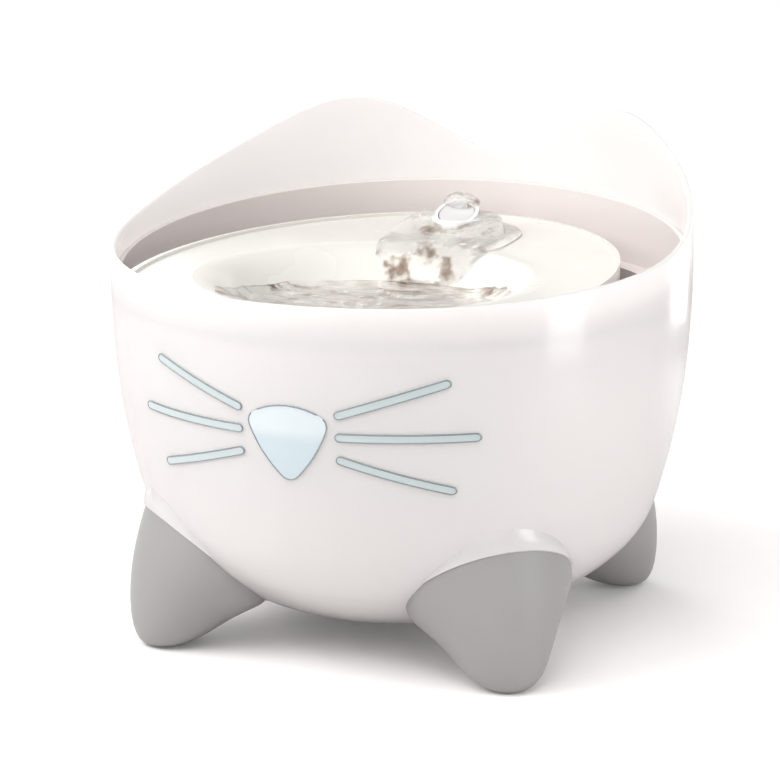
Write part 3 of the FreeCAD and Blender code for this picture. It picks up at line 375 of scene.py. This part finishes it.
def rippled_water(name, size, stretch, clear_from, clear_to):
    """Clear water whose folds carry painted shade; size of a fold, and how long it is against its
    width.
    """
    material, tree, shader, place = fresh_material(name)
    squeeze = add_node(tree, "ShaderNodeMapping")
    squeeze.inputs["Scale"].default_value = stretch
    tree.links.new(place, squeeze.inputs["Vector"])
    folds = noise_at(tree, squeeze.outputs["Vector"], 1.0 / size, 3.0)
    speckle = noise_at(tree, squeeze.outputs["Vector"], SPECKLES_PER_FOLD / size, 2.0)
    # mask of the painted shade blotches in the water, from folds and speckles
    painted_shade_patches = add_node(tree, "ShaderNodeMath", operation="MULTIPLY_ADD")
    painted_shade_patches.inputs[1].default_value = SPECKLE_SHARE
    tree.links.new(speckle, painted_shade_patches.inputs[0])
    tree.links.new(folds, painted_shade_patches.inputs[2])
    clearness = add_node(tree, "ShaderNodeMapRange")
    clearness.inputs["From Min"].default_value = clear_from
    clearness.inputs["From Max"].default_value = clear_to
    tree.links.new(painted_shade_patches.outputs[0], clearness.inputs["Value"])
    tree.links.new(blend_colours(tree, clearness.outputs["Result"], WATER_PAINTED_SHADE, CLEAR_WATER),
                   shader.inputs["Base Color"])
    tree.links.new(bump_from(tree, speckle, SPECKLE_HEIGHT), shader.inputs["Normal"])
    tree.links.new(spread(tree, folds, 0.0, ROUGHEST_WATER), shader.inputs["Roughness"])
    shader.inputs["Transmission Weight"].default_value = 1.0
    shader.inputs["IOR"].default_value = WATER_IOR
    passing = add_node(tree, "ShaderNodeBsdfTransparent")
    tree.links.new(blend_colours(tree, clearness.outputs["Result"], PASSING_PAINTED_SHADE, PASSING_CLEAR),
                   passing.inputs["Color"])
    mix_shaders(tree, shader, passing, PASSING_SHARE)
    return material


falling_water = rippled_water("falling_water", 0.012, (1.2, 0.8, 1.0), 0.47, 0.59)
pool_water = rippled_water("pool_water", 0.011, (0.55, 1.7, 1.0), 0.52, 0.63)

# %% [markdown]
# Each body of water lies on the dish, so the dish itself says how high its underside is: a ray
# dropped from above finds the plastic at any place. That is surer than repeating the dish's
# curves here, and it follows when the dish changes.

# %% Helpers for water that lies on the dish


def tree_of(name):
    """A part's faces, ready to be met by rays."""
    mesh = nodes[name].data
    points = [v.co.copy() for v in mesh.vertices]
    return BVHTree.FromPolygons(points, [tuple(p.vertices) for p in mesh.polygons])


DISH_TREE = tree_of("drinking_dish")
DISH_LOW, DISH_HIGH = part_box("drinking_dish")
DROP_FROM = DISH_HIGH.z + 20.0 * MM
DOWN = Vector((0.0, 0.0, -1.0))
WATER_GAP = 0.25 * MM


def dish_height(x, y):
    hit = DISH_TREE.ray_cast(Vector((x, y, DROP_FROM)), DOWN)[0]
    return hit.z if hit else DISH_LOW.z


def wave(x, y, size, seed):
    """A smooth random height between about -1 and 1, whose waves are size metres long."""
    return noise.noise(Vector((x / size, y / size, seed)))


print("middle of the basin at", round(dish_height(0.0, -40.0 * MM) / MM, 1), "mm")

# %% Helpers that make a mesh


def mesh_object(name, points, faces, material, smooth=True):
    mesh = bpy.data.meshes.new(name)
    mesh.from_pydata(points, [], faces)
    mesh.materials.append(material)
    mesh.polygons.foreach_set("use_smooth", [smooth] * len(mesh.polygons))
    made = bpy.data.objects.new(name, mesh)
    bpy.context.scene.collection.objects.link(made)
    return made


def lens_body(name, rings, turns, place_top, place_low, material):
    """A closed body over an oval: top points by ring and turn, and the same below."""
    points = [place_top(0.0, 0.0), place_low(0.0, 0.0)]
    faces = []

    def index(ring, turn, low):
        return 2 + ((ring - 1) * turns + turn % turns) * 2 + low

    for ring in range(1, rings + 1):
        share = ring / rings
        for turn in range(turns):
            angle = 2 * math.pi * turn / turns
            points.append(place_top(share, angle))
            points.append(place_low(share, angle))
    for turn in range(turns):
        faces.append((0, index(1, turn, 0), index(1, turn + 1, 0)))
        faces.append((1, index(1, turn + 1, 1), index(1, turn, 1)))
        for ring in range(1, rings):
            for low, flip in ((0, False), (1, True)):
                quad = [index(ring, turn, low), index(ring + 1, turn, low),
                        index(ring + 1, turn + 1, low), index(ring, turn + 1, low)]
                faces.append(tuple(reversed(quad)) if flip else tuple(quad))
        faces.append((index(rings, turn, 0), index(rings, turn, 1),
                      index(rings, turn + 1, 1), index(rings, turn + 1, 0)))
    return mesh_object(name, points, faces, material)


# %% [markdown]
# The sheet runs from the nozzle down the ramp of the dish as a broad tongue. It stands nearly
# 3 mm proud of the plastic with a rounded rim, where surface tension gathers it into a bead, and
# long folds run down it. Its outline is a circle whose corners are pushed out a little, because
# a plain ellipse would be too narrow where the water drops into the basin.

# %% Shape of the water sheet
SHEET_RINGS = 36
SHEET_TURNS = 120
SHEET_BACK = 51.0 * MM
SHEET_RIGHT = 2.8 * MM
SHEET_HALF_WIDTH = 29.0 * MM
SHEET_HALF_LENGTH = 42.0 * MM
SHEET_SQUARENESS = 2.7
SHEET_DEPTH = 2.6 * MM
SHEET_RIM = 6
LONG_FOLD = 14.0 * MM
LONG_FOLD_RISE = 0.55 * MM
SHORT_FOLD = 5.0 * MM
SHORT_FOLD_RISE = 0.25 * MM
RAGGED_EDGE = 0.02
BEAD_RISE = 0.9 * MM
BEAD_PLACE = 0.88
BEAD_WIDTH = 0.09
NOZZLE_BACK = 68.0 * MM
NOZZLE_HOLE = 12.2 * MM


def squared_circle(angle, squareness):
    """A point of a circle whose corners are pushed out as squareness grows from 2."""
    across = math.copysign(abs(math.sin(angle)) ** (2 / squareness), math.sin(angle))
    along = math.copysign(abs(math.cos(angle)) ** (2 / squareness), math.cos(angle))
    return across, along


def sheet_place(share, angle):
    edge = 1.0 + RAGGED_EDGE * wave(math.sin(angle), math.cos(angle), 0.35, 4.4)
    across, along = squared_circle(angle, SHEET_SQUARENESS)
    x = SHEET_RIGHT + SHEET_HALF_WIDTH * share * edge * across
    y = SHEET_BACK - SHEET_HALF_LENGTH * share * edge * along
    return x, y


def sheet_floor(x, y):
    """The plastic under the sheet, bridged over the nozzle's hole."""
    from_nozzle = math.hypot(x, y - NOZZLE_BACK)
    if from_nozzle >= NOZZLE_HOLE:
        return dish_height(x, y)
    scale = NOZZLE_HOLE / max(from_nozzle, 1e-6)
    return dish_height(x * scale, NOZZLE_BACK + (y - NOZZLE_BACK) * scale)


def sheet_top(share, angle):
    x, y = sheet_place(share, angle)
    crown = math.sqrt(max(0.0, 1.0 - share ** SHEET_RIM))
    bead = BEAD_RISE * math.exp(-((share - BEAD_PLACE) / BEAD_WIDTH) ** 2)
    folds = LONG_FOLD_RISE * wave(x * 2.0, y, LONG_FOLD, 3.1)
    folds += SHORT_FOLD_RISE * wave(x, y, SHORT_FOLD, 7.7)
    return Vector((x, y, sheet_floor(x, y) + WATER_GAP + (SHEET_DEPTH + folds + bead) * crown))


def sheet_low(share, angle):
    x, y = sheet_place(share, angle)
    return Vector((x, y, sheet_floor(x, y) + WATER_GAP))


sheet = lens_body("water_sheet", SHEET_RINGS, SHEET_TURNS, sheet_top, sheet_low, falling_water)
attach(sheet, "dish")
print("sheet points:", len(sheet.data.vertices))

# %% [markdown]
# The pool fills the basin to a level a little over 5 mm above its floor, and rings run out from
# where the sheet falls in. Round it a thin film climbs the basin's wall, so the height of the
# water is the level or the film over the plastic, whichever is higher.

# %% Shape of the pool
POOL_RINGS = 48
POOL_TURNS = 140
POOL_BACK = -50.0 * MM
POOL_RIGHT = 3.0 * MM
POOL_HALF_WIDTH = 60.0 * MM
POOL_HALF_LENGTH = 62.0 * MM
POOL_SQUARENESS = 2.4
POOL_LEVEL = 148.4 * MM
FILM_DEPTH = 0.35 * MM
SHALLOW_CHOP = 0.25
SPLASH = Vector((0.0, 4.0 * MM))
RING_RISE = 0.5 * MM
RING_LENGTH = 1.9 * MM
RING_REACH = 45.0 * MM
LONG_CHOP = 11.0 * MM
LONG_CHOP_RISE = 0.8 * MM
SHORT_CHOP = 4.2 * MM
SHORT_CHOP_RISE = 0.4 * MM
CALM_EDGE = 8


def pool_place(share, angle):
    ragged = 1.0 + RAGGED_EDGE * wave(math.sin(angle), math.cos(angle), 0.12, 8.1)
    across, along = squared_circle(angle, POOL_SQUARENESS)
    x = POOL_RIGHT + POOL_HALF_WIDTH * share * ragged * across
    y = POOL_BACK - POOL_HALF_LENGTH * share * ragged * along
    return x, y


def pool_top(share, angle):
    x, y = pool_place(share, angle)
    away = math.hypot(x - SPLASH.x, y - SPLASH.y)
    rings = RING_RISE * math.sin(away / RING_LENGTH) * math.exp(-away / RING_REACH)
    chop = LONG_CHOP_RISE * wave(x, y * 1.6, LONG_CHOP, 1.3)
    chop += SHORT_CHOP_RISE * wave(x, y, SHORT_CHOP, 5.9)
    calm = 1.0 - share ** CALM_EDGE
    film = dish_height(x, y) + WATER_GAP + FILM_DEPTH * calm
    stir = 1.0 if film < POOL_LEVEL else SHALLOW_CHOP
    return Vector((x, y, max(POOL_LEVEL, film) + (rings + chop) * calm * stir))


def pool_low(share, angle):
    x, y = pool_place(share, angle)
    return Vector((x, y, dish_height(x, y) + WATER_GAP))


pool = lens_body("water_pool", POOL_RINGS, POOL_TURNS, pool_top, pool_low, pool_water)
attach(pool, "dish")
print("pool points:", len(pool.data.vertices))

# %% [markdown]
# Over the nozzle the water stands up as a low bubbling dome before it tips over the front. It
# lies in the nozzle's own leaning plane, so its points are first placed flat, as if the nozzle
# stood upright, and then tilted with it.

# %% Shape of the dome over the nozzle
NOZZLE_TOP = 170.6 * MM
NOZZLE_TILT = math.radians(24.0)
DOME_RADIUS = 8.8 * MM
DOME_LENGTH = 0.55
DOME_HEIGHT = 4.4 * MM
DOME_SHIFT = 7.5 * MM
DOME_BUBBLES = 0.5


def on_nozzle(x, y, height):
    """A place on the nozzle's leaning mouth: y from its middle to the back, height above it."""
    tilted = Vector((x, y * math.cos(NOZZLE_TILT) - height * math.sin(NOZZLE_TILT),
                     y * math.sin(NOZZLE_TILT) + height * math.cos(NOZZLE_TILT)))
    return tilted + Vector((0.0, NOZZLE_BACK, NOZZLE_TOP))


def dome_place(share, angle, height):
    x = DOME_RADIUS * share * math.sin(angle)
    y = DOME_SHIFT - DOME_RADIUS * DOME_LENGTH * share * math.cos(angle)
    return on_nozzle(x, y, height)


def dome_top(share, angle):
    height = DOME_HEIGHT * math.sqrt(max(0.0, 1.0 - share * share))
    bubbles = 1.0 + DOME_BUBBLES * wave(share * math.sin(angle), share * math.cos(angle), 0.5, 2.2)
    return dome_place(share, angle, WATER_GAP + height * bubbles)


def dome_low(share, angle):
    return dome_place(share, angle, WATER_GAP * 0.5)


dome = lens_body("water_dome", 14, 48, dome_top, dome_low, falling_water)
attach(dome, "nozzle")
print("dome", round(DOME_HEIGHT / MM, 1), "mm high")

# %% [markdown]
# In the nozzle's mouth stands a smooth pale disc, where the water wells up without a ripple. A
# thin round slab does it, a little below the rim.

# %% Shape of the welling disc
DISC_RADIUS = 8.3 * MM
DISC_BELOW = 0.5 * MM
DISC_DEPTH = 0.6 * MM

welling, _, _, _ = moulded_plastic(
    "welling_water", (0.66, 0.655, 0.65), (0.05, 0.1), drift=0.05, grain=200.0, coat=0.5)


def disc_place(share, angle, height):
    return on_nozzle(DISC_RADIUS * share * math.sin(angle), -DISC_RADIUS * share * math.cos(angle),
                     height)


def disc_top(share, angle):
    return disc_place(share, angle, -DISC_BELOW)


def disc_low(share, angle):
    return disc_place(share, angle, -DISC_BELOW - DISC_DEPTH)


disc = lens_body("welling_disc", 8, 48, disc_top, disc_low, welling)
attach(disc, "nozzle")
print("disc", round(2 * DISC_RADIUS / MM, 1), "mm across")

# %% [markdown]
# ## Painted shade round the light guides
# Light that leaves a clear guide sideways never reaches the eye, so every real one is framed by
# a thin darker line of shade. A fine dark round bead along each outline paints that shade.
# Edges could also be painted darker in the material, but a line that keeps its width on a bent
# face is simpler to make as a piece.

# %% A closed bead along a path
EDGE_RADIUS = 0.27 * MM
EDGE_SIDES = 6

# painted shade: the dark colour of the beads that stand for the shade round each guide
edge_painted_shade, _, _, _ = moulded_plastic(
    "edge_painted_shade", (0.2, 0.245, 0.26), (0.15, 0.3), drift=0.05, coat=0.3)


def edge_bead(name, path):
    """A closed thin ring of round section through the points of path."""
    count = len(path)
    points = []
    faces = []
    for i in range(count):
        along = (path[(i + 1) % count] - path[i - 1]).normalized()
        out = Vector((path[i].x, path[i].y, 0.0)).normalized()
        side = along.cross(out).normalized()
        for k in range(EDGE_SIDES):
            a = 2 * math.pi * k / EDGE_SIDES
            points.append(path[i] + (out * math.cos(a) + side * math.sin(a)) * EDGE_RADIUS)
    for i in range(count):
        for k in range(EDGE_SIDES):
            a = i * EDGE_SIDES + k
            b = i * EDGE_SIDES + (k + 1) % EDGE_SIDES
            c = (i + 1) % count * EDGE_SIDES + (k + 1) % EDGE_SIDES
            d = (i + 1) % count * EDGE_SIDES + k
            faces.append((a, d, c, b))
    bead = mesh_object(name, points, faces, edge_painted_shade)
    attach(bead, "base")


# %% [markdown]
# The nose's outline is found on the nose itself. From its middle, a ray along +Y meets the nose
# first as long as it is inside the window, and the shell first beyond it. Halving the distance
# between the two finds the edge in each direction.

# %% Bead round the nose
FACE_FRONT = -200.0 * MM
INWARD = Vector((0.0, 1.0, 0.0))
NOSE_MIDDLE = 108.5 * MM
NOSE_REACH = 24.0 * MM
NOSE_STEPS = 72
HALVINGS = 18
NOSE_INSET = 0.15 * MM
SHELL_TREE = tree_of("bowl_shell")
NOSE_TREE = tree_of("nose_lens")


def front_of(tree, x, z):
    """Where a part's front is, seen from before the face; None beside the part."""
    hit = tree.ray_cast(Vector((x, FACE_FRONT, z)), INWARD)[0]
    return hit.y if hit else None


def nose_reach(angle):
    """How far from the nose's middle its front reaches in one direction."""
    near = 0.0
    far = NOSE_REACH
    for _ in range(HALVINGS):
        middle = (near + far) / 2
        x = middle * math.sin(angle)
        z = NOSE_MIDDLE + middle * math.cos(angle)
        front = front_of(NOSE_TREE, x, z)
        shell = front_of(SHELL_TREE, x, z)
        if front is not None and (shell is None or front < shell):
            near = middle
        else:
            far = middle
    return near


nose_path = []
for i in range(NOSE_STEPS):
    angle = 2 * math.pi * i / NOSE_STEPS
    reach = nose_reach(angle) - NOSE_INSET
    x = reach * math.sin(angle)
    z = NOSE_MIDDLE + reach * math.cos(angle)
    nose_path.append(Vector((x, front_of(NOSE_TREE, x, z), z)))
edge_bead("nose_edge", nose_path)
print("nose is", round((nose_path[0].z - nose_path[NOSE_STEPS // 2].z) / MM, 1), "mm high")

# %% [markdown]
# A whisker is a straight bar with round ends, drawn flat on the face and laid onto the bowl. Its
# bead takes the same way: a path round the flat bar, each point then pushed back along +Y until
# it meets the guide.

# %% Beads round the whiskers
WHISKER_START = 22.0 * MM
WHISKER_HALF_WIDTH = 1.75 * MM
WHISKER_INSET = 0.12 * MM
WHISKERS = [(121.6, 63.0, 135.1), (112.2, 72.8, 112.2), (102.4, 63.2, 89.5)]
CAP_STEPS = 6
SIDE_STEPS = 14


def bar_outline(start, end, half):
    """Points round a bar with round ends, from its first side to its last cap."""
    along = (end - start).normalized()
    across = Vector((-along.y, along.x))
    outline = []
    for a, b, way in ((start, end, 1), (end, start, -1)):
        for i in range(SIDE_STEPS):
            outline.append(a + (b - a) * (i / SIDE_STEPS) + across * (way * half))
        for i in range(CAP_STEPS):
            turn = math.pi * i / CAP_STEPS
            outline.append(b + (across * math.cos(turn) + along * math.sin(turn)) * (way * half))
    return outline


def whisker_path(tree, side, start_z, end_x, end_z):
    """side is -1 or 1; the whisker's heights and its far end are in millimetres."""
    start = Vector((side * WHISKER_START, start_z * MM))
    end = Vector((side * end_x * MM, end_z * MM))
    path = []
    for point in bar_outline(start, end, WHISKER_HALF_WIDTH - WHISKER_INSET):
        front = front_of(tree, point.x, point.y)
        path.append(Vector((point.x, path[-1].y if front is None else front, point.y)))
    return path


for side, word in ((-1, "left"), (1, "right")):
    guide_tree = tree_of("whisker_guide_" + word)
    for number, (start_z, end_x, end_z) in enumerate(WHISKERS):
        edge_bead("whisker_edge_%s_%d" % (word, number + 1),
                  whisker_path(guide_tree, side, start_z, end_x, end_z))
print("edge beads:", 1 + 2 * len(WHISKERS))

# %% [markdown]
# ## The studio
# The picture was lit by large soft boxes over a white sweep. The sweep is white to the camera but
# keeps the bowl's soft shadow. A real cyclorama needs metres of paper; here a large plane does.
# It glows a little, and more the further it is from the bowl, but only as the camera sees it, so
# that it reaches paper white without throwing more light on the bowl.

# %% The floor
FLOOR_SIZE = 12.0
PAPER_DARK = (0.855, 0.835, 0.835)
PAPER_LIGHT = (0.875, 0.86, 0.86)
PAPER_FIBRES = 60.0
PAPER_ROUGHNESS = 0.85
GLOW_TINT = (1.0, 0.99, 0.99, 1.0)
GLOW_NEAR = 0.08
GLOW_FAR = 0.60
GLOW_START = 0.3
GLOW_END = 1.6


def studio_floor():
    material, tree, shader, place = fresh_material("paper_sweep")
    fibres = noise_at(tree, place, PAPER_FIBRES)
    paper = blend_colours(tree, fibres, PAPER_DARK, PAPER_LIGHT)
    tree.links.new(paper, shader.inputs["Base Color"])
    shader.inputs["Roughness"].default_value = PAPER_ROUGHNESS
    away = add_node(tree, "ShaderNodeVectorMath", operation="LENGTH")
    tree.links.new(place, away.inputs[0])
    lift = add_node(tree, "ShaderNodeMapRange")
    lift.inputs["From Min"].default_value = GLOW_START
    lift.inputs["From Max"].default_value = GLOW_END
    lift.inputs["To Min"].default_value = GLOW_NEAR
    lift.inputs["To Max"].default_value = GLOW_FAR
    tree.links.new(away.outputs["Value"], lift.inputs["Value"])
    rays = add_node(tree, "ShaderNodeLightPath")
    glow = add_node(tree, "ShaderNodeMath", operation="MULTIPLY")
    tree.links.new(lift.outputs["Result"], glow.inputs[0])
    tree.links.new(rays.outputs["Is Camera Ray"], glow.inputs[1])
    shader.inputs["Emission Color"].default_value = GLOW_TINT
    tree.links.new(glow.outputs[0], shader.inputs["Emission Strength"])
    half = FLOOR_SIZE / 2
    corners = [(-half, -half, 0), (half, -half, 0), (half, half, 0), (-half, half, 0)]
    floor = mesh_object("floor", corners, [(0, 1, 2, 3)], material, smooth=False)


studio_floor()
print("floor", FLOOR_SIZE, "m across")

# %% [markdown]
# The world stands for the white room. Straight to the camera, and through the water, it is pure
# white; for the lighting it is dimmer, so that the lamps keep their shape on the bowl.

# %% The room
ROOM_LIGHT = 0.44
ROOM_TINT = (1.0, 0.985, 0.98, 1.0)


def studio_room():
    world = bpy.data.worlds.new("white_room")
    world.use_nodes = True
    bpy.context.scene.world = world
    tree = world.node_tree
    tree.nodes.clear()
    output = add_node(tree, "ShaderNodeOutputWorld")
    seen = add_node(tree, "ShaderNodeBackground")
    seen.inputs["Strength"].default_value = 1.0
    lit = add_node(tree, "ShaderNodeBackground")
    lit.inputs["Color"].default_value = ROOM_TINT
    lit.inputs["Strength"].default_value = ROOM_LIGHT
    rays = add_node(tree, "ShaderNodeLightPath")
    pick = add_node(tree, "ShaderNodeMixShader")
    clear = add_node(tree, "ShaderNodeMath", operation="MAXIMUM")
    tree.links.new(rays.outputs["Is Camera Ray"], clear.inputs[0])
    tree.links.new(rays.outputs["Is Transmission Ray"], clear.inputs[1])
    tree.links.new(clear.outputs[0], pick.inputs[0])
    tree.links.new(lit.outputs[0], pick.inputs[1])
    tree.links.new(seen.outputs[0], pick.inputs[2])
    tree.links.new(pick.outputs[0], output.inputs["Surface"])


studio_room()
print("room light", ROOM_LIGHT)

# %% [markdown]
# Lamps far away model the form: a big soft box from the left and above makes the left side bright
# and lets the shadow fall to the right, one from the top lights the dish, one from behind glows
# through the thin rim, and a weak one in front fills the shades. The long upright glints come
# from two narrow strips instead. The camera looks down, so a wall's mirror image lies below eye
# level, and the strips have to stand close by and almost on the floor to be seen in it at all.

# %% The lamps
LAMP_AIM = Vector((0.0, 0.0, 0.1))
WHITE = (1.0, 1.0, 1.0)
DAYLIGHT = (1.0, 0.99, 0.98)


def soft_box(name, turn, rise, distance, width, height, power, colour=WHITE):
    """turn is counted from the front to the right, rise above the floor, both in degrees.

    Sizes and the distance are in metres, the power in watts.
    """
    a = math.radians(turn)
    e = math.radians(rise)
    way = Vector((math.sin(a) * math.cos(e), -math.cos(a) * math.cos(e), math.sin(e)))
    lamp = bpy.data.lights.new(name, "AREA")
    lamp.shape = "RECTANGLE"
    lamp.size = width
    lamp.size_y = height
    lamp.energy = power
    lamp.color = colour
    made = bpy.data.objects.new(name, lamp)
    made.location = LAMP_AIM + way * distance
    made.rotation_mode = "QUATERNION"
    made.rotation_quaternion = (-way).to_track_quat("-Z", "Y")
    bpy.context.scene.collection.objects.link(made)
    print(name, power, "W")


soft_box("box_left", -52, 36, 1.5, 1.0, 1.0, 16.0)
soft_box("box_top", 6, 58, 1.4, 1.0, 1.0, 10.5, DAYLIGHT)
soft_box("box_rear", 228, 20, 1.5, 1.0, 0.9, 8.5)
soft_box("box_front", 35, 30, 1.6, 0.9, 0.9, 1.6)
soft_box("strip_right", 80, 9, 0.48, 0.13, 0.3, 0.55)
soft_box("strip_rear", 150, 9, 0.5, 0.2, 0.3, 0.5)

# %% [markdown]
# ## The last check
# Every part must have a finish before the picture is taken, and the water must stay inside the
# space of the solid parts.

# %% Check and finish
for name in nodes:
    assert nodes[name].data.materials, name + " has no finish"
